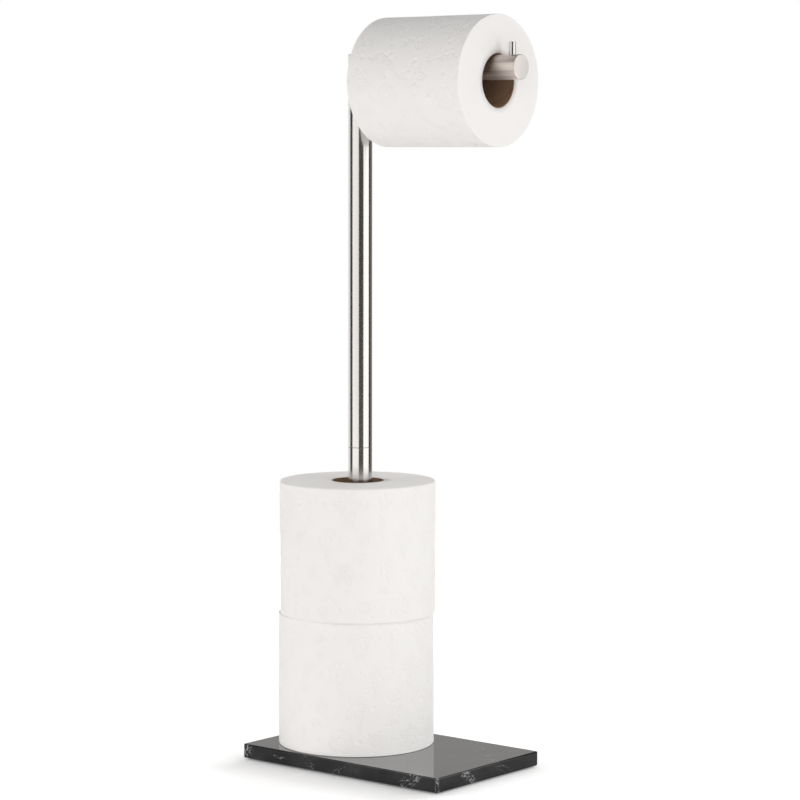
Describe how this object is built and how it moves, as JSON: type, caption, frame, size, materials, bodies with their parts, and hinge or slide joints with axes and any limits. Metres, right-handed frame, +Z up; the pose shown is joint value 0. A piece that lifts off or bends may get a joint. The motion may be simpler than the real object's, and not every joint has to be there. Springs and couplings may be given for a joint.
{
  "type": "freestanding toilet paper holder",
  "caption": "Freestanding toilet paper holder: stone slab base, round steel post with a level roll arm and stop pin, and spare rolls stacked round the post.",
  "frame": {"origin": "bottom centre of the whole object's box, on the floor", "axes": "+Z up; +X along the roll arm from the post towards its tip, the front; +Y to the left"},
  "size_m": [0.2146, 0.121, 0.5581],
  "materials": {
    "stone": "polished",
    "steel": "satin",
    "hardware": "satin",
    "rubber": "matte",
    "tissue": "matte",
    "core_board": "matte"
  },
  "bodies": {
    "stand": {"base_slab": "stone", "foot_rear_left": "rubber", "foot_rear_right": "rubber", "foot_front_left": "rubber", "foot_front_right": "rubber", "base_screw": "hardware", "base_washer": "hardware", "post_gasket": "rubber", "lower_post_tube": "steel", "post_foot_plug": "hardware", "post_spigot": "hardware"},
    "upper_post": {"upper_post_tube": "steel", "post_socket": "hardware", "post_top_plug": "steel", "arm_stud": "hardware", "arm_rear_plug": "hardware", "roll_arm": "steel", "stop_pin": "steel"},
    "top_roll": {"top_roll_core": "core_board", "top_roll_paper": "tissue"},
    "lower_spare": {"lower_spare_roll_core": "core_board", "lower_spare_roll_paper": "tissue"},
    "upper_spare": {"upper_spare_roll_core": "core_board", "upper_spare_roll_paper": "tissue"}
  },
  "joints": [
    {"name": "upper_post_lift", "type": "slide", "parent": "stand", "child": "upper_post", "axis": [0, 0, 1], "range_m": [0, 0.045]},
    {"name": "top_roll_spin", "type": "hinge", "parent": "upper_post", "child": "top_roll", "pos_m": [0.0363, 0, 0.51055], "axis": [1, 0, 0], "continuous": true},
    {"name": "lower_spare_lift", "type": "slide", "parent": "stand", "child": "lower_spare", "axis": [0, 0, 1], "range_m": [0, 0.12]},
    {"name": "upper_spare_lift", "type": "slide", "parent": "lower_spare", "child": "upper_spare", "axis": [0, 0, 1], "range_m": [0, 0.12]}
  ]
}
